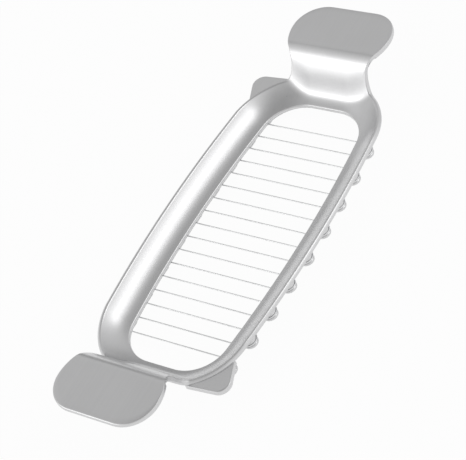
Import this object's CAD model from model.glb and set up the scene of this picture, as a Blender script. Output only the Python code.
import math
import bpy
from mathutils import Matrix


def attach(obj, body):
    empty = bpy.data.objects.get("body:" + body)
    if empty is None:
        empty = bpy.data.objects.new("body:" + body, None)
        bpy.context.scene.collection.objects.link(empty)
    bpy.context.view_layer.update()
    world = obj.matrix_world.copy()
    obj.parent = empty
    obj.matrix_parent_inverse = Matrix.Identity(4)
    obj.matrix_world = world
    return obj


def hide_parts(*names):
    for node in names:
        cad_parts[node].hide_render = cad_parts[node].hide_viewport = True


bl_info = {
    "name": "Wire Butter Slicer",
    "version": (1, 0, 0),
    "blender": (4, 5, 0),
    "location": "View3D > Sidebar > Slicer",
    "description": "Builds a cast metal butter slicer with its laced cutting wire and a plain studio",
    "category": "Object",
}

import bmesh
import bpy
import numpy as np
from bpy.props import FloatProperty, FloatVectorProperty, IntProperty, PointerProperty
from mathutils import Quaternion, Vector

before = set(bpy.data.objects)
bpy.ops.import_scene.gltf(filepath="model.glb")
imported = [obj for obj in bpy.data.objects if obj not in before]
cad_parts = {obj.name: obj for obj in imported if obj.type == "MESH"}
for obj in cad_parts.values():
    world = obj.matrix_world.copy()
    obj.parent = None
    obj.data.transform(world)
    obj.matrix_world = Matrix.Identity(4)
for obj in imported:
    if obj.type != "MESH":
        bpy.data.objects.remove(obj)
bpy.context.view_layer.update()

BODY = "root"
MM = 0.001

WIRE_NODES = ["wire_%02d" % n for n in range(1, 18)]
STRAND_NODES = WIRE_NODES + ["wire_turns_left", "wire_turns_right", "wire_end_left", "wire_end_right"]
SCREW_NODES = ["anchor_screw_left", "anchor_screw_right"]


def length(name, description, millimetres):
    """A property that holds a length, given here in millimetres and kept in metres."""
    return FloatProperty(name=name, description=description, default=millimetres * MM, min=0.0,
                         precision=5, unit="LENGTH")


def angle(name, description, degrees):
    """A property that holds an angle, given here in degrees and kept in radians."""
    return FloatProperty(name=name, description=description, default=math.radians(degrees),
                         subtype="ANGLE")


def colour(name, description, level):
    """A colour property, given as one grey level or as red, green and blue."""
    value = level if isinstance(level, tuple) else (level, level, level)
    return FloatVectorProperty(name=name, description=description, default=value, size=3,
                               min=0.0, max=1.0, subtype="COLOR")


class SlicerCastingSizes(bpy.types.PropertyGroup):
    """The casting: its opening, flange, risers and paddles"""
    open_half_length: length("Opening half length", "From the middle to the end of the opening", 73.5)
    open_half_width: length("Opening half width", "From the middle to the side of the opening", 27.0)
    side_bow: length("Side bow", "How much narrower the opening is at its last wires", 3.2)
    open_corner: length("Opening corner", "Corner radius of the opening", 17.0)
    wall: length("Wall", "Thickness of the metal", 2.4)
    edge: length("Edge", "Radius of the rounded edges", 0.7)
    flange_width: length("Flange width", "From the opening to the rim", 11.6)
    flange_rise: length("Flange rise", "From the lip up to the rim", 8.0)
    lip_slope: angle("Lip slope", "Slope of the flange at the lip", 15.0)
    rim_corner: length("Rim corner", "Radius of the rim round a corner", 31.3)
    handle_rise: length("Handle rise", "Height of a paddle above the wires", 24.0)
    riser_run: length("Riser run", "Length of the slope up to a paddle", 17.5)
    handle_reach: length("Handle reach", "From the end of the opening to the tip", 42.0)
    paddle_half_width: length("Paddle half width", "Half of the width of a paddle", 25.5)
    paddle_corner: length("Paddle corner", "Corner radius at the tip", 14.0)
    waist_half_width: length("Waist half width", "Half of the width of the waist", 19.8)
    waist: length("Waist hollow", "Radius of the hollow at the waist", 6.0)


class SlicerWireSizes(bpy.types.PropertyGroup):
    """The cutting wire, and the pegs, ears, bosses and screws that hold it"""
    pitch: length("Pitch", "Distance between neighbouring cutting wires", 7.6)
    count: IntProperty(name="Wires", description="Number of cutting wires", default=len(WIRE_NODES), min=3)
    diameter: length("Diameter", "Diameter of the wire", 0.6)
    height: length("Height", "Height of the wires above the table", 2.2)
    gap: length("Gap", "Gap between the wire and the metal", 0.05)
    peg_out: length("Peg distance", "From the opening's edge to the middle of a peg", 4.2)
    peg_back: length("Peg back", "From the middle of a peg to its flat side, towards the opening", 1.6)
    foot_lip: length("Foot lip", "How far a peg's foot stands out under the wire", 0.7)
    foot_gap: length("Foot gap", "Height of the wire's run above a foot", 0.5)
    anchor_out: length("Anchor distance", "From the guide peg to the anchor screw", 8.7)
    screw: length("Screw", "Diameter of the anchor screw's shank", 3.0)
    screw_gap: length("Screw gap", "Gap between the screw and the loop of wire", 0.1)
    ear: length("Ear", "Radius of the ear's outer corner", 5.2)
    ear_out: length("Ear distance", "From the rim to the middle of the ear's corner", 5.5)
    ear_height: length("Ear thickness", "Thickness of an ear", 2.7)
    boss: length("Boss", "Radius of the boss that carries the anchor screw", 4.0)
    bore_depth: length("Bore depth", "Depth of the screw's hole in its boss", 3.2)


class SlicerFinish(bpy.types.PropertyGroup):
    """The colours of the metals and of the floor"""
    cast: colour("Cast metal", "Colour of the satin cast metal", (0.70, 0.70, 0.705))
    cast_roughness: FloatProperty(name="Satin", description="Roughness of the cast metal",
                                  default=0.3, min=0.0, max=1.0)
    wire: colour("Wire", "Colour of the drawn steel wire", (0.82, 0.825, 0.83))
    screw: colour("Screw", "Colour of the plain steel screws", (0.56, 0.56, 0.57))
    floor: colour("Floor", "Colour of the pale floor", 0.9)


class SlicerStudio(bpy.types.PropertyGroup):
    """The camera's place and lens"""
    azimuth: angle("Azimuth", "Camera's direction round the slicer", -39.1)
    elevation: angle("Elevation", "Camera's height above the horizon", 44.55)
    roll: angle("Roll", "Camera's turn about its own line of sight", 27.3)
    distance: length("Distance", "From the camera to the middle of the view", 820.6)
    aim: FloatVectorProperty(name="Aim", description="Middle of the view", size=3, subtype="TRANSLATION",
                             default=(0.9 * MM, 8.8 * MM, 2.2 * MM))
    lens: FloatProperty(name="Lens", description="Focal length for a 36 mm sensor", default=145.6)


def casting_sizes():
    return bpy.context.scene.slicer_casting


def wire_sizes():
    return bpy.context.scene.slicer_wire


def finishes():
    return bpy.context.scene.slicer_finish


def studio():
    return bpy.context.scene.slicer_studio


class Sock:
    """Wraps a socket so that maths on it is written as an expression."""

    def __init__(self, tree, socket):
        self.tree = tree
        self.socket = socket

    def math(self, operation, first, second):
        return make_node(self.tree, "ShaderNodeMath", {0: first, 1: second}, operation=operation)

    def __add__(self, other):
        return self.math("ADD", self, other)

    def __radd__(self, other):
        return self.math("ADD", other, self)

    def __sub__(self, other):
        return self.math("SUBTRACT", self, other)

    def __rsub__(self, other):
        return self.math("SUBTRACT", other, self)

    def __mul__(self, other):
        return self.math("MULTIPLY", self, other)

    def __rmul__(self, other):
        return self.math("MULTIPLY", other, self)


def make_node(tree, kind, inputs=(), output=0, **settings):
    """Adds a node: first its settings, then the values or links of its sockets. Returns one output."""
    node = tree.nodes.new(kind)
    stops = settings.pop("stops", None)
    for key, value in settings.items():
        setattr(node, key, value)
    if stops:
        set_ramp(node.color_ramp, stops)
    for key, value in dict(inputs).items():
        if isinstance(value, Sock):
            tree.links.new(value.socket, node.inputs[key])
        else:
            node.inputs[key].default_value = value
    return Sock(tree, node.outputs[output]) if len(node.outputs) else None


def set_ramp(ramp, stops):
    """Gives a ramp its stops, each a place with a grey level or a colour."""
    while len(ramp.elements) > len(stops):
        ramp.elements.remove(ramp.elements[-1])
    while len(ramp.elements) < len(stops):
        ramp.elements.new(1.0)
    for element, (place, level) in zip(ramp.elements, stops):
        element.position = place
        element.color = (*level, 1.0) if isinstance(level, tuple) else (level, level, level, 1.0)


def cleared_tree(owner):
    """The shader tree of a new material or world, without its first nodes."""
    owner.use_nodes = True
    owner.node_tree.nodes.clear()
    return owner.node_tree


TINT_START = 0.25
TINT_END = 0.75


def noise(tree, detail, roughness=0.5, scale=1.0, stretch=(1.0, 1.0, 1.0)):
    """Noise over object coordinates that can be stretched first."""
    place = make_node(tree, "ShaderNodeTexCoord", output="Object")
    place = make_node(tree, "ShaderNodeMapping", {"Vector": place, "Scale": stretch})
    return make_node(tree, "ShaderNodeTexNoise",
                     {"Vector": place, "Scale": scale, "Detail": detail, "Roughness": roughness})


def tinted(tree, base, mask, low, high):
    """The base colour, taken from low to high times its brightness by a mask."""
    darker = tuple(c * low for c in base)
    lighter = tuple(min(c * high, 1.0) for c in base)
    return make_node(tree, "ShaderNodeValToRGB", {"Fac": mask},
                     stops=[(TINT_START, darker), (TINT_END, lighter)])


def close_metal(tree, tint, roughness, height, strength, depth):
    """Ends a metal's tree with its shader and a bump that follows a height."""
    bump = make_node(tree, "ShaderNodeBump", {"Strength": strength, "Distance": depth, "Height": height})
    metal = make_node(tree, "ShaderNodeBsdfPrincipled",
                      {"Base Color": tint, "Roughness": roughness, "Metallic": 1.0, "Normal": bump})
    make_node(tree, "ShaderNodeOutputMaterial", {"Surface": metal})


CAST_METAL = "satin_cast_metal"
CAST_TINT = (0.96, 1.03)
CAST_BUMP = 0.06
CAST_BUMP_DEPTH = 0.1 * MM
BRUSH_STRETCH = (22.0, 900.0, 900.0)
BRUSH_DETAIL = 4.0
BRUSH_BREAKUP = 0.6
GRAIN_SCALE = 900.0
GRAIN_DETAIL = 3.0
CLOUD_SCALE = 55.0
CLOUD_DETAIL = 2.0
# How much each of them swings the roughness
BRUSH_ROUGH = 0.06
GRAIN_ROUGH = 0.04
CLOUD_ROUGH = 0.04
MAIN_SHARE = 0.6


def mostly(main, other):
    """A mix of two masks in which the first has the larger share."""
    return main * MAIN_SHARE + other * (1 - MAIN_SHARE)


def cast_metal():
    """Satin cast metal: fine brushed lines along the slicer over a faint cast grain."""
    material = bpy.data.materials.get(CAST_METAL)
    if material:
        return material
    material = bpy.data.materials.new(CAST_METAL)
    tree = cleared_tree(material)
    brushed = noise(tree, BRUSH_DETAIL, BRUSH_BREAKUP, stretch=BRUSH_STRETCH)
    grain = noise(tree, GRAIN_DETAIL, scale=GRAIN_SCALE)
    clouds = noise(tree, CLOUD_DETAIL, scale=CLOUD_SCALE)
    tint = tinted(tree, finishes().cast, mostly(brushed, clouds), *CAST_TINT)
    swing = brushed * BRUSH_ROUGH + clouds * CLOUD_ROUGH + grain * GRAIN_ROUGH
    lowest = finishes().cast_roughness - (BRUSH_ROUGH + CLOUD_ROUGH + GRAIN_ROUGH) / 2
    close_metal(tree, tint, swing + lowest, mostly(brushed, grain), CAST_BUMP, CAST_BUMP_DEPTH)
    return material


STEEL_TINT = (0.9, 1.08)
STEEL_ROUGHNESS = 0.2
STEEL_ROUGH_SWING = 0.12
STEEL_BUMP = 0.05
STEEL_BUMP_DEPTH = 0.05 * MM
STEEL_DETAIL = 3.0
WIRE_STRETCH = (3000.0, 60.0, 3000.0)
SCREW_STRETCH = (1500.0, 1500.0, 1500.0)


def drawn_steel(name, base, stretch):
    """Bright steel with the faint lines that drawing or turning leaves."""
    material = bpy.data.materials.new(name)
    tree = cleared_tree(material)
    lines = noise(tree, STEEL_DETAIL, stretch=stretch)
    tint = tinted(tree, base, lines, *STEEL_TINT)
    roughness = lines * STEEL_ROUGH_SWING + STEEL_ROUGHNESS
    close_metal(tree, tint, roughness, lines, STEEL_BUMP, STEEL_BUMP_DEPTH)
    return material


def wire_steel():
    return drawn_steel("drawn_wire_steel", finishes().wire, WIRE_STRETCH)


def screw_steel():
    return drawn_steel("plain_screw_steel", finishes().screw, SCREW_STRETCH)


def give_material(obj, material):
    obj.data.materials.clear()
    obj.data.materials.append(material)


def finish_piece(obj, material, slot, *nodes):
    """The last steps of every piece: its material, its body, its slot and the solids it stands for."""
    give_material(obj, material)
    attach(obj, BODY)
    if nodes:
        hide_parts(*nodes)


def mesh_object(name, points, edges=(), faces=()):
    """An object with a plain mesh, in the scene."""
    mesh = bpy.data.meshes.new(name)
    mesh.from_pydata([tuple(p) for p in points], list(edges), [tuple(f) for f in faces])
    mesh.update()
    obj = bpy.data.objects.new(name, mesh)
    bpy.context.scene.collection.objects.link(obj)
    return obj


def solid_object(name, points, faces):
    """An object with a smooth closed mesh whose faces look outwards."""
    obj = mesh_object(name, points, faces=faces)
    obj.data.shade_smooth()
    bm = bmesh.new()
    bm.from_mesh(obj.data)
    bmesh.ops.recalc_face_normals(bm, faces=bm.faces)
    bm.to_mesh(obj.data)
    bm.free()
    return obj


def ring_faces(bands, rings, size):
    """Quads of so many bands, each between one ring and the next. After the last ring comes the first."""
    faces = []
    for band in range(bands):
        here = band * size
        there = (band + 1) % rings * size
        for j in range(size):
            k = (j + 1) % size
            faces.append((here + j, here + k, there + k, there + j))
    return faces


def lofted(rings):
    """Points and faces of a stack of rings of equal size, closed with a flat cap at each end."""
    count, size = len(rings), len(rings[0])
    points = [p for ring in rings for p in ring]
    caps = [tuple(range(size))[::-1], tuple(range((count - 1) * size, count * size))]
    return points, ring_faces(count - 1, count, size) + caps


def heading(start, end):
    """Direction from one place to another."""
    return math.atan2(end[1] - start[1], end[0] - start[0])


def beyond(place, direction, reach):
    """The place that lies a reach away in a direction."""
    return (place[0] + reach * math.cos(direction), place[1] + reach * math.sin(direction))


def arc(centre, radius, start, end, steps):
    """Points of an arc after its start, up to and with its end. Angles in radians."""
    turn = np.linspace(start, end, steps + 1)[1:]
    return np.stack([centre[0] + radius * np.cos(turn), centre[1] + radius * np.sin(turn)], 1)


def circle(centre, radius, sides):
    """Points round a circle."""
    return [beyond(centre, turn, radius) for turn in np.linspace(0, 2 * math.pi, sides, endpoint=False)]


def half_turned(points):
    """Places turned half round the middle of the slicer."""
    return [(-x, -y) for x, y in points]


def smooth(value):
    """Climbs softly from 0 to 1 as a value does."""
    value = np.clip(value, 0.0, 1.0)
    return value * value * (3.0 - 2.0 * value)


class CastingShape:
    """The casting's outlines and the height of its top face, all from the sizes."""

    # How much sooner the rim's side ends than the opening's
    RIM_LAG = 1.0 * MM
    # From the end of the opening to the foot of a riser
    RISER_START = 0.5 * MM
    # Below 1, a riser is steeper at its foot and softer at its top
    RISER_BIAS = 0.9
    # Where the dish starts to turn into the riser, and over what length
    BLEND_START = 0.5 * MM
    BLEND_RUN = 10.0 * MM
    # How much later it starts for each unit further out than the free half width
    BLEND_LAG = 0.25
    BLEND_FREE = 10.0 * MM
    # In flange widths, how far out the dish goes on climbing
    DISH_LIMIT = 1.5
    # Steps along each stretch of an outline
    SIDE_STEPS = 26
    CORNER_STEPS = 20
    WAIST_STEPS = 10
    SHOULDER_STEPS = 10
    TIP_CORNER_STEPS = 14
    TIP_EDGE_STEPS = 6

    def __init__(self, sizes, wire):
        self.sizes = sizes
        self.last_wire = wire.pitch * (wire.count - 1) / 2
        wall_height = sizes.wall / math.cos(sizes.lip_slope)
        self.lip = wire.height + wire.diameter / 2 + wire.gap + wall_height
        self.paddle = wire.height + sizes.handle_rise
        self.tip = sizes.open_half_length + sizes.handle_reach
        bow_rate = 2 * sizes.side_bow / self.last_wire**2
        corner = sizes.open_corner
        self.open_join = (sizes.open_half_length - corner) / (1 - bow_rate * corner)
        self.rim_join = self.open_join - self.RIM_LAG
        self.open_start = math.pi / 2 - math.atan(bow_rate * self.open_join)
        self.rim_start = math.pi / 2 - math.atan(bow_rate * self.rim_join)
        self.open_centre = self.corner_centre(self.open_join, 0.0, corner, self.open_start)
        self.rim_centre = self.corner_centre(self.rim_join, sizes.flange_width, sizes.rim_corner,
                                             self.rim_start)
        self.open_end = self.open_centre[0] + corner
        straight_rise = math.tan(sizes.lip_slope) * sizes.flange_width
        self.curve = (sizes.flange_rise - straight_rise) / sizes.flange_width**2
        reach = sizes.rim_corner + sizes.waist
        waist_y = sizes.waist_half_width + sizes.waist
        waist_x = self.rim_centre[0] + math.sqrt(reach**2 - (waist_y - self.rim_centre[1]) ** 2)
        self.waist_centre = (waist_x, waist_y)
        self.corner_end = heading(self.rim_centre, self.waist_centre)

    def open_half(self, x):
        """Half of the opening's width at a place along it."""
        return self.sizes.open_half_width - self.sizes.side_bow * (x / self.last_wire) ** 2

    def corner_centre(self, x, out, radius, start):
        """Centre of the corner that a side runs into at x, so far outside the opening."""
        return beyond((x, self.open_half(x) + out), start, -radius)

    def outer_quarter(self):
        """From the middle of a side, round the corner and the waist, to the middle of the tip."""
        sizes, waist, leave = self.sizes, self.waist_centre, self.corner_end
        lobe_x = self.tip - sizes.paddle_corner
        run, drop = lobe_x - waist[0], waist[1] - sizes.paddle_half_width
        shoulder_radius = (run**2 + drop**2 - sizes.waist**2) / (2 * (sizes.waist - drop))
        shoulder = (lobe_x, sizes.paddle_half_width - shoulder_radius)
        tip = (lobe_x, sizes.paddle_half_width - sizes.paddle_corner)
        meet = heading(shoulder, waist)
        x = np.linspace(0, self.rim_join, self.SIDE_STEPS + 1)
        edge_y = np.linspace(tip[1], 0, self.TIP_EDGE_STEPS + 1)[1:]
        return np.concatenate([
            np.stack([x, self.open_half(x) + sizes.flange_width], 1),
            arc(self.rim_centre, sizes.rim_corner, self.rim_start, leave, self.CORNER_STEPS),
            arc(waist, sizes.waist, leave + math.pi, meet + math.pi, self.WAIST_STEPS),
            arc(shoulder, shoulder_radius, meet, math.pi / 2, self.SHOULDER_STEPS),
            arc(tip, sizes.paddle_corner, math.pi / 2, 0, self.TIP_CORNER_STEPS),
            np.stack([np.full_like(edge_y, self.tip), edge_y], 1)])

    def inner_quarter(self):
        """The opening's outline, point for point with the outer one."""
        centre, radius = self.open_centre, self.sizes.open_corner
        x = np.linspace(0, self.open_join, self.SIDE_STEPS + 1)
        corner = arc(centre, radius, self.open_start, self.corner_end, self.CORNER_STEPS)
        fan = self.WAIST_STEPS + self.SHOULDER_STEPS + self.TIP_CORNER_STEPS + self.TIP_EDGE_STEPS
        y = np.linspace(corner[-1][1], 0, fan + 1)[1:]
        end_x = centre[0] + np.sqrt(radius**2 - np.maximum(y - centre[1], 0) ** 2)
        return np.concatenate([np.stack([x, self.open_half(x)], 1), corner, np.stack([end_x, y], 1)])

    def dish(self, ax, ay, inward=0.0):
        """Height of the dished flange over a place, or over one that much nearer to the opening."""
        side = ay - self.open_half(np.minimum(ax, self.open_join))
        past = ax - self.open_centre[0]
        aside = np.maximum(ay - self.open_centre[1], 0)
        round_corner = np.hypot(past, aside) - self.sizes.open_corner
        out = np.where(past > 0, round_corner, side) - inward
        out = np.clip(out, 0, self.DISH_LIMIT * self.sizes.flange_width)
        return self.lip + out * (math.tan(self.sizes.lip_slope) + self.curve * out)

    def height(self, x, y):
        """Height of the top face: the dish, the slope of the handle, and the blend between them."""
        ax, ay = np.abs(x), np.abs(y)
        past = ax - self.open_end
        dish = self.dish(ax, ay)
        climb = np.clip((past - self.RISER_START) / self.sizes.riser_run, 0, 1) ** self.RISER_BIAS
        handle = self.lip + (self.paddle - self.lip) * smooth(climb)
        lag = self.BLEND_LAG * np.maximum(ay - self.BLEND_FREE, 0)
        share = smooth((past - self.BLEND_START - lag) / self.BLEND_RUN)
        return dish + (handle - dish) * share


def casting_shape():
    return CastingShape(casting_sizes(), wire_sizes())


def whole_loop(quarter):
    """Four mirrored copies of a quarter outline, as one closed loop."""
    there, back = quarter[:-1], quarter[:0:-1]
    return np.concatenate([there, back * (1, -1), there * (-1, -1), back * (-1, 1)])


# Steps of a ray over the flange and riser, over the flat rest, and round each edge
SLOPE_LEVELS = 26
FLAT_LEVELS = 8
EDGE_STEPS = 5
# The most of a ray that the first steps cover, and how far past a riser's top they go
SLOPE_SHARE = 0.86
SLOPE_SPARE = 2.0 * MM
# How far to each side the slope of the top face is measured
NORMAL_STEP = 0.05 * MM


def ray_section(run, sizes):
    """Distance and depth of the points round the wall on one ray, with rounded edges."""
    edge = sizes.edge
    reach = min(SLOPE_SHARE * run, CastingShape.RISER_START + sizes.riser_run + SLOPE_SPARE)
    levels = np.concatenate([np.linspace(edge, reach, SLOPE_LEVELS, endpoint=False),
                             np.linspace(reach, run - edge, FLAT_LEVELS + 1)])
    turn = np.linspace(0, math.pi / 2, EDGE_STEPS + 1)[:-1]
    inward, down = edge - edge * np.cos(turn), edge - edge * np.sin(turn)
    top = np.zeros_like(levels)
    parts = [(inward, down), (levels, top), (run - inward[::-1], down[::-1]),
             (run - inward, sizes.wall - down), (levels[::-1], top + sizes.wall),
             (inward[::-1], sizes.wall - down[::-1])]
    return np.concatenate([np.stack(part, 1) for part in parts])


def casting_points(shape):
    """Rings of points round the wall, one ring for each ray from the opening to the outer edge."""
    step = NORMAL_STEP
    rings = []
    for start, end in zip(whole_loop(shape.inner_quarter()), whole_loop(shape.outer_quarter())):
        run = math.dist(start, end)
        section = ray_section(run, shape.sizes)
        plan = start + (end - start) * (section[:, :1] / run)
        x, y, depth = plan[:, 0], plan[:, 1], section[:, 1]
        slope_x = (shape.height(x + step, y) - shape.height(x - step, y)) / (2 * step)
        slope_y = (shape.height(x, y + step) - shape.height(x, y - step)) / (2 * step)
        sink = depth / np.sqrt(slope_x**2 + slope_y**2 + 1)
        rings.append(np.stack([x + slope_x * sink, y + slope_y * sink, shape.height(x, y) - sink], 1))
    return np.array(rings)


def peg_xs(shape):
    """Places along the slicer of the pegs on its +Y side, from the guide peg on."""
    wire = wire_sizes()
    return [shape.last_wire + wire.pitch / 2 - 2 * wire.pitch * k for k in range((wire.count + 1) // 2)]


def peg_y(shape, x):
    """Distance of a peg from the middle line."""
    return shape.open_half(x) + wire_sizes().peg_out


def guide_and_anchor(shape):
    """Places of the guide peg and the anchor screw on the +Y side, and the radius of the wire's loop."""
    wire = wire_sizes()
    guide_x = peg_xs(shape)[0]
    guide_y = peg_y(shape, guide_x)
    loop = wire.screw / 2 + wire.diameter / 2 + wire.screw_gap
    anchor = (guide_x + wire.anchor_out, guide_y + wire.pitch / 2 - loop)
    return (guide_x, guide_y), anchor, loop


PEG_SIDES = 40
# The neck ends in the flange, one part of the wall in so many below the top face of the lip
NECK_WALL_PARTS = 3
FOOT_ROUND = 0.35 * MM
FOOT_FILLET = 0.12 * MM
# Height and inset in roundings, and share of the foot's lip, of the rings at the foot's two edges
FOOT_BOTTOM = ((0.0, 1.0, 1.0), (2 / 7, 0.45, 1.0), (1.0, 0.0, 1.0))
FOOT_TOP = ((-1.0, 0.0, 1.0), (-0.35, 0.3, 0.8), (0.0, 0.4, 0.35))


def peg_rings(shape):
    """Rings of one peg: a rounded foot that stands out under the wire, and a neck that ends in the
    flange. The wire turns round the outer half, so the side towards the opening is flat."""
    wire = wire_sizes()
    neck = wire.pitch / 2 - wire.diameter / 2 - wire.gap
    foot = wire.height - wire.diameter / 2 - wire.foot_gap
    neck_end = shape.lip - shape.sizes.wall / NECK_WALL_PARTS
    edges = [(0.0, *ring) for ring in FOOT_BOTTOM] + [(foot, *ring) for ring in FOOT_TOP]
    steps = [(base + FOOT_ROUND * rise, FOOT_ROUND * inset, share) for base, rise, inset, share in edges]
    steps += [(foot + FOOT_FILLET, 0.0, 0.0), (neck_end, 0.0, 0.0)]
    rings = []
    for z, inset, share in steps:
        ring = circle((0.0, wire.foot_lip * share), neck - inset, PEG_SIDES)
        rings.append([(x, max(y, -wire.peg_back), z) for x, y in ring])
    return rings


EAR_CORNER = math.radians(53)
EAR_ROOTS = (math.radians(31), math.radians(69))
EAR_ROOT_OUT = 0.6 * MM
EAR_ROOT_RADIUS = 1.0 * MM
EAR_ROOT_STEPS = 10
EAR_CORNER_STEPS = 30
EAR_BACK_STEPS = 24
EAR_ROUND = 0.6 * MM
EAR_ROUND_STEPS = 5
# How far inside the rounding the ear's flat faces get one more ring
EAR_FACE_INSET = 0.3 * MM


def tangent_angle(first, first_radius, second, second_radius):
    """Direction in which a line, passing two circles on its left, touches both of them."""
    lean = math.asin((first_radius - second_radius) / math.dist(first, second))
    return heading(first, second) - math.pi / 2 + lean


def ear_outline(shape, inset):
    """Outline of an ear: round its corner between two roots, and back along under the rim."""
    wire = wire_sizes()
    rim, rim_radius = shape.rim_centre, shape.sizes.rim_corner
    low, high = (beyond(rim, direction, rim_radius + EAR_ROOT_OUT) for direction in EAR_ROOTS)
    corner = beyond(rim, EAR_CORNER, rim_radius + wire.ear_out)
    leave = tangent_angle(low, EAR_ROOT_RADIUS, corner, wire.ear)
    meet = tangent_angle(corner, wire.ear, high, EAR_ROOT_RADIUS)
    root = EAR_ROOT_RADIUS - inset
    back = rim_radius + EAR_ROOT_OUT - root
    return np.concatenate([
        arc(low, root, EAR_ROOTS[0] - math.pi, leave, EAR_ROOT_STEPS),
        arc(corner, wire.ear - inset, leave, meet, EAR_CORNER_STEPS),
        arc(high, root, meet, EAR_ROOTS[1] + math.pi, EAR_ROOT_STEPS),
        arc(rim, back, EAR_ROOTS[1], EAR_ROOTS[0], EAR_BACK_STEPS)])


def ear_top(shape):
    """Height of an ear's top face, a wall's thickness under the rim."""
    return shape.lip + shape.sizes.flange_rise - shape.sizes.wall


def ear_rings(shape):
    """Rings of an ear from its underside to its top, with both edges rounded over."""
    thick = wire_sizes().ear_height
    top = ear_top(shape)
    turn = np.linspace(0, math.pi / 2, EAR_ROUND_STEPS + 1)
    edge = [(EAR_ROUND * (1 - math.sin(a)), EAR_ROUND * (1 - math.cos(a))) for a in turn]
    low = [(inset, thick - sunk) for inset, sunk in edge]
    high = [(inset, sunk) for inset, sunk in reversed(edge)]
    face = EAR_ROUND + EAR_FACE_INSET
    steps = [(face, thick)] + low + high + [(face, 0.0)]
    return [[(x, y, top - sunk) for x, y in ear_outline(shape, inset)] for inset, sunk in steps]


BOSS_SIDES = 48
BOSS_ROUND = 0.3 * MM
# Share of the rounding at its middle ring
BOSS_ROUND_MIDDLE = 0.3
# How far the boss's side ends under the flange
BOSS_SKIN = 0.5 * MM
# How far the boss's head leans out, and how far it stays under the ear's top
BOSS_LEAN = 1.5 * MM
BOSS_HEAD_GAP = 0.3 * MM


def boss_rings(shape):
    """Rings of the boss for the anchor screw, from the end of its bore out, up to the flange and on
    into the ear."""
    wire = wire_sizes()
    anchor = guide_and_anchor(shape)[1]
    base = wire.height + wire.diameter / 2 + 2 * wire.gap
    side_end = float(shape.dish(*anchor, wire.boss)) - BOSS_SKIN
    head = ear_top(shape) - BOSS_HEAD_GAP
    bore, middle = wire.screw / 2 + wire.screw_gap, BOSS_ROUND * BOSS_ROUND_MIDDLE
    outward = np.subtract(anchor, shape.rim_centre)
    leant = anchor + outward / math.hypot(*outward) * BOSS_LEAN
    steps = [(anchor, bore, base + wire.bore_depth), (anchor, bore, base),
             (anchor, wire.boss - BOSS_ROUND, base), (anchor, wire.boss - middle, base + middle),
             (anchor, wire.boss, base + BOSS_ROUND), (anchor, wire.boss, side_end),
             (leant, wire.boss / 2, head)]
    return [[(x, y, z) for x, y in circle(centre, radius, BOSS_SIDES)] for centre, radius, z in steps]


TURN_STEPS = 12
BEND_STEPS = 8
LOOP_STEPS = 30
# The loop round a screw starts at 90 degrees, so it turns by 300
LOOP_END = math.radians(-210)
WIRE_SIDES = 16


def strand_end(shape):
    """The wire's end on the +Y side: round the guide peg, along to the screw and round its shank."""
    radius = wire_sizes().pitch / 2
    guide, anchor, loop = guide_and_anchor(shape)
    bend = arc(guide, radius, math.pi, math.pi / 2, BEND_STEPS)
    wrap = arc(anchor, loop, math.pi / 2, LOOP_END, LOOP_STEPS)
    return [(guide[0] - radius, guide[1]), *map(tuple, bend), (anchor[0], anchor[1] + loop),
            *map(tuple, wrap)]


def strand_route(shape):
    """The whole laced wire, from the end at one ear, to and fro across the opening, to the other."""
    wire = wire_sizes()
    radius = wire.pitch / 2
    turn = np.linspace(0, math.pi, TURN_STEPS + 1)
    end = strand_end(shape)
    route = end[::-1]
    for n in range(wire.count - 1):
        x = shape.last_wire - wire.pitch * n - radius
        far = peg_y(shape, x)
        side = -1 if n % 2 == 0 else 1
        route += [(x + radius * math.cos(a), side * (far + radius * math.sin(a))) for a in turn]
    route += half_turned(end)
    return [(x, y, wire.height) for x, y in route]


SPIN = "spin"


def new_tree(name, inputs):
    """An empty geometry tree with named inputs, and those inputs as sockets by their names."""
    tree = bpy.data.node_groups.new(name, "GeometryNodeTree")
    tree.interface.new_socket("Geometry", in_out="INPUT", socket_type="NodeSocketGeometry")
    for label, kind in inputs:
        tree.interface.new_socket(label, in_out="INPUT", socket_type=kind)
    tree.interface.new_socket("Geometry", in_out="OUTPUT", socket_type="NodeSocketGeometry")
    given = tree.nodes.new("NodeGroupInput")
    return tree, {socket.name: Sock(tree, socket) for socket in given.outputs}


def end_tree(tree, geometry, material):
    """Realize Instances, smooth shading and Set Material close every tree."""
    real = make_node(tree, "GeometryNodeRealizeInstances", {"Geometry": geometry})
    shaded = make_node(tree, "GeometryNodeSetShadeSmooth", {"Geometry": real})
    painted = make_node(tree, "GeometryNodeSetMaterial", {"Geometry": shaded, "Material": material})
    make_node(tree, "NodeGroupOutput", {"Geometry": painted})


def run_tree(obj, tree, values):
    """Runs a tree on an object and keeps the result as a plain mesh."""
    modifier = obj.modifiers.new("build", "NODES")
    modifier.node_group = tree
    for item in tree.interface.items_tree:
        if item.in_out == "INPUT" and item.name in values:
            modifier[item.identifier] = values[item.name]
    obj.update_tag()
    seen = obj.evaluated_get(bpy.context.evaluated_depsgraph_get())
    result = bpy.data.meshes.new_from_object(seen)
    obj.modifiers.clear()
    old = obj.data
    obj.data = result
    bpy.data.meshes.remove(old)


def scatter_tree():
    """Puts a copy of a template on each point, turned about Z by the point's own angle."""
    tree, given = new_tree("pegs_on_points",
                           [("Template", "NodeSocketObject"), ("Material", "NodeSocketMaterial")])
    template = make_node(tree, "GeometryNodeObjectInfo", {"Object": given["Template"]}, "Geometry")
    points = make_node(tree, "GeometryNodeMeshToPoints", {"Mesh": given["Geometry"]})
    spin = make_node(tree, "GeometryNodeInputNamedAttribute", {"Name": SPIN}, "Attribute",
                     data_type="FLOAT")
    turn = make_node(tree, "ShaderNodeCombineXYZ", {"Z": spin})
    copies = make_node(tree, "GeometryNodeInstanceOnPoints",
                       {"Points": points, "Instance": template, "Rotation": turn})
    end_tree(tree, copies, given["Material"])
    return tree


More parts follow.
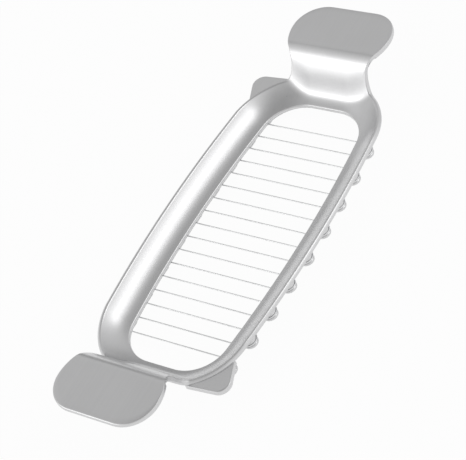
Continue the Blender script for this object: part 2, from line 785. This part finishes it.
def strand_tree():
    """Sweeps a round wire along a polyline."""
    tree, given = new_tree("wire_on_route", [("Radius", "NodeSocketFloat"), ("Sides", "NodeSocketInt"),
                                             ("Material", "NodeSocketMaterial")])
    route = make_node(tree, "GeometryNodeMeshToCurve", {"Mesh": given["Geometry"]})
    ring = make_node(tree, "GeometryNodeCurvePrimitiveCircle",
                     {"Radius": given["Radius"], "Resolution": given["Sides"]})
    sweep = make_node(tree, "GeometryNodeCurveToMesh",
                      {"Curve": route, "Profile Curve": ring, "Fill Caps": True})
    end_tree(tree, sweep, given["Material"])
    return tree


class SLICER_OT_casting(bpy.types.Operator):
    """Build the one-piece casting: dished flange, waists and paddles"""
    bl_idname = "slicer.casting"
    bl_label = "Casting"

    def execute(self, context):
        rings = casting_points(casting_shape())
        count, size = rings.shape[:2]
        piece = solid_object("frame_casting", rings.reshape(-1, 3), ring_faces(count, count, size))
        finish_piece(piece, cast_metal(), "cast_metal", "frame")
        return {"FINISHED"}


class SLICER_OT_pegs(bpy.types.Operator):
    """Build the pegs that the wire turns round, under both sides of the flange"""
    bl_idname = "slicer.pegs"
    bl_label = "Wire pegs"

    def execute(self, context):
        shape = casting_shape()
        template = solid_object("peg_template", *lofted(peg_rings(shape)))
        places = [(x, peg_y(shape, x)) for x in peg_xs(shape)]
        piece = mesh_object("wire_pegs", [(x, y, 0.0) for x, y in places + half_turned(places)])
        spin = piece.data.attributes.new(SPIN, "FLOAT", "POINT")
        spin.data.foreach_set("value", [0.0] * len(places) + [math.pi] * len(places))
        run_tree(piece, scatter_tree(), {"Template": template, "Material": cast_metal()})
        bpy.data.objects.remove(template)
        finish_piece(piece, cast_metal(), "cast_metal", "frame")
        return {"FINISHED"}


class SLICER_OT_ears(bpy.types.Operator):
    """Build the two ears at opposite corners, where the wire's ends are held"""
    bl_idname = "slicer.ears"
    bl_label = "Corner ears"

    def execute(self, context):
        shape = casting_shape()
        points, faces = [], []
        for rings in (ear_rings(shape), boss_rings(shape)):
            for sign in (1, -1):
                places, loop_faces = lofted([[(sign * x, sign * y, z) for x, y, z in r] for r in rings])
                faces += [tuple(v + len(points) for v in face) for face in loop_faces]
                points += places
        piece = solid_object("corner_ears", points, faces)
        finish_piece(piece, cast_metal(), "cast_metal", "frame")
        return {"FINISHED"}


class SLICER_OT_strand(bpy.types.Operator):
    """Build the cutting wire as the one laced strand that it is"""
    bl_idname = "slicer.strand"
    bl_label = "Cutting wire"

    def execute(self, context):
        route = strand_route(casting_shape())
        piece = mesh_object("cutting_wire", route, [(i, i + 1) for i in range(len(route) - 1)])
        steel = wire_steel()
        run_tree(piece, strand_tree(),
                 {"Radius": wire_sizes().diameter / 2, "Sides": WIRE_SIDES, "Material": steel})
        finish_piece(piece, steel, "wire_steel", *STRAND_NODES)
        return {"FINISHED"}


class SLICER_OT_screws(bpy.types.Operator):
    """Give the two anchor screws their plain steel"""
    bl_idname = "slicer.screws"
    bl_label = "Anchor screws"

    def execute(self, context):
        steel = screw_steel()
        for name in SCREW_NODES:
            give_material(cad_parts[name], steel)
        return {"FINISHED"}


WHITE = (1.0, 1.0, 1.0, 1.0)
FLOOR_HALF = 3.0
# How bright the floor is to the camera, and in the metal's reflections
FLOOR_WHITE = 0.95
FLOOR_MIRRORED = 0.75


def floor_finish():
    """A pale floor that looks nearly white to the camera and the metal, and takes a faint shadow."""
    material = bpy.data.materials.new("pale_floor")
    tree = cleared_tree(material)
    path = tree.nodes.new("ShaderNodeLightPath")
    rays = ("Is Camera Ray", "Is Glossy Ray", "Is Transmission Ray")
    camera, glossy, through = (Sock(tree, path.outputs[name]) for name in rays)
    lit = make_node(tree, "ShaderNodeBsdfDiffuse", {"Color": (*finishes().floor, 1.0)})
    white = make_node(tree, "ShaderNodeEmission", {"Color": WHITE, "Strength": 1.0})
    seen = camera * FLOOR_WHITE + (glossy + through) * FLOOR_MIRRORED
    both = make_node(tree, "ShaderNodeMixShader", {0: seen, 1: lit, 2: white})
    make_node(tree, "ShaderNodeOutputMaterial", {"Surface": both})
    return material


# Grey level of the sky at each height, from the horizon to overhead
SKY_STOPS = [(0.0, 0.66), (0.4, 0.68), (0.7, 0.68), (0.83, 0.46), (1.0, 0.38)]
# Direction of each patch, the cosines at its edge and at its full strength, and that strength
PALE_PATCHES = [((-0.83, 0.55, 0.05), 0.75, 0.98, 0.7), ((0.3, -0.9, 0.3), 0.5, 0.95, 0.25),
                ((-0.25, 0.553, 0.79), 0.86, 0.99, 0.16)]
DIM_PATCH = ((0.83, 0.55, 0.1), 0.8, 0.97, 0.28)


def sky_patch(tree, place, direction, edge, full, amount):
    """A soft round patch of sky about a direction, between two cosines."""
    along = make_node(tree, "ShaderNodeVectorMath", {0: place, 1: direction}, "Value",
                      operation="DOT_PRODUCT")
    rise = make_node(tree, "ShaderNodeMapRange", {"Value": along, "From Min": edge, "From Max": full},
                     interpolation_type="SMOOTHSTEP")
    return rise * amount


def studio_world():
    """A soft grey sky, dimmer overhead, with paler patches and a dimmer one for the metal to mirror."""
    world = bpy.data.worlds.new("soft_sky")
    bpy.context.scene.world = world
    tree = cleared_tree(world)
    place = make_node(tree, "ShaderNodeTexCoord", output="Generated")
    height = make_node(tree, "ShaderNodeSeparateXYZ", {"Vector": place}, "Z")
    level = make_node(tree, "ShaderNodeValToRGB", {"Fac": height}, stops=SKY_STOPS)
    for patch in PALE_PATCHES:
        level = level + sky_patch(tree, place, *patch)
    level = level - sky_patch(tree, place, *DIM_PATCH)
    background = make_node(tree, "ShaderNodeBackground", {"Color": level, "Strength": 1.0})
    make_node(tree, "ShaderNodeOutputWorld", {"Surface": background})


CARD_DISTANCE = 0.8
# Name, direction, width, height and brightness of each lamp
CARDS = [("flange_light", (0.45, -0.5, 0.74), 0.3, 0.2, 1.55),
         ("riser_light", (-0.73, 0.553, 0.39), 0.4, 0.15, 1.5)]


def soft_card(name, direction, width, height, brightness):
    """A soft rectangular lamp that faces the slicer. Its power grows with its area."""
    data = bpy.data.lights.new(name, "AREA")
    data.shape = "RECTANGLE"
    data.size, data.size_y = width, height
    data.energy = brightness * math.pi * width * height
    lamp = bpy.data.objects.new(name, data)
    outward = Vector(direction).normalized()
    lamp.location = outward * CARD_DISTANCE
    lamp.rotation_mode = "QUATERNION"
    lamp.rotation_quaternion = outward.to_track_quat("Z", "Y")
    bpy.context.scene.collection.objects.link(lamp)


SENSOR_WIDTH = 36.0
CLIP_START = 0.01
CLIP_END = 10.0


def product_camera():
    """The camera that sees the slicer as the photograph does."""
    view = studio()
    data = bpy.data.cameras.new("product_camera")
    data.sensor_width = SENSOR_WIDTH
    data.lens = view.lens
    data.clip_start, data.clip_end = CLIP_START, CLIP_END
    camera = bpy.data.objects.new("product_camera", data)
    ground = math.cos(view.elevation)
    back = Vector((math.sin(view.azimuth) * ground, -math.cos(view.azimuth) * ground,
                   math.sin(view.elevation)))
    camera.location = Vector(view.aim) + back * view.distance
    camera.rotation_mode = "QUATERNION"
    level = (-back).to_track_quat("-Z", "Y")
    camera.rotation_quaternion = level @ Quaternion((0, 0, 1), -view.roll)
    bpy.context.scene.collection.objects.link(camera)
    bpy.context.scene.camera = camera


class SLICER_OT_stage(bpy.types.Operator):
    """Build the floor, the soft light and the camera"""
    bl_idname = "slicer.stage"
    bl_label = "Studio"

    def execute(self, context):
        corners = [(-FLOOR_HALF, -FLOOR_HALF, 0), (FLOOR_HALF, -FLOOR_HALF, 0),
                   (FLOOR_HALF, FLOOR_HALF, 0), (-FLOOR_HALF, FLOOR_HALF, 0)]
        floor = mesh_object("studio_floor", corners, faces=[(0, 1, 2, 3)])
        give_material(floor, floor_finish())
        studio_world()
        for card in CARDS:
            soft_card(*card)
        product_camera()
        context.scene.view_settings.view_transform = "Standard"
        return {"FINISHED"}


class SLICER_PT_panel(bpy.types.Panel):
    """Lists the slicer's pieces and their sizes"""
    bl_idname = "SLICER_PT_panel"
    bl_label = "Butter Slicer"
    bl_space_type = "VIEW_3D"
    bl_region_type = "UI"
    bl_category = "Slicer"

    def draw(self, context):
        for operator in OPERATORS:
            self.layout.operator(operator.bl_idname)
        for group in (casting_sizes(), wire_sizes(), finishes(), studio()):
            box = self.layout.box()
            for name in group.bl_rna.properties.keys():
                if name not in ("rna_type", "name"):
                    box.prop(group, name)


GROUPS = {"slicer_casting": SlicerCastingSizes, "slicer_wire": SlicerWireSizes,
          "slicer_finish": SlicerFinish, "slicer_studio": SlicerStudio}
OPERATORS = (SLICER_OT_casting, SLICER_OT_pegs, SLICER_OT_ears, SLICER_OT_strand, SLICER_OT_screws,
             SLICER_OT_stage)


def register():
    for cls in (*GROUPS.values(), *OPERATORS, SLICER_PT_panel):
        bpy.utils.register_class(cls)
    for name, group in GROUPS.items():
        setattr(bpy.types.Scene, name, PointerProperty(type=group))


def unregister():
    for name in GROUPS:
        delattr(bpy.types.Scene, name)
    for cls in (SLICER_PT_panel, *reversed(OPERATORS), *reversed(list(GROUPS.values()))):
        bpy.utils.unregister_class(cls)


def main():
    register()
    bpy.ops.slicer.casting()
    bpy.ops.slicer.pegs()
    bpy.ops.slicer.ears()
    bpy.ops.slicer.strand()
    bpy.ops.slicer.screws()
    bpy.ops.slicer.stage()
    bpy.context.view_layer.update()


if __name__ == "__main__":
    main()
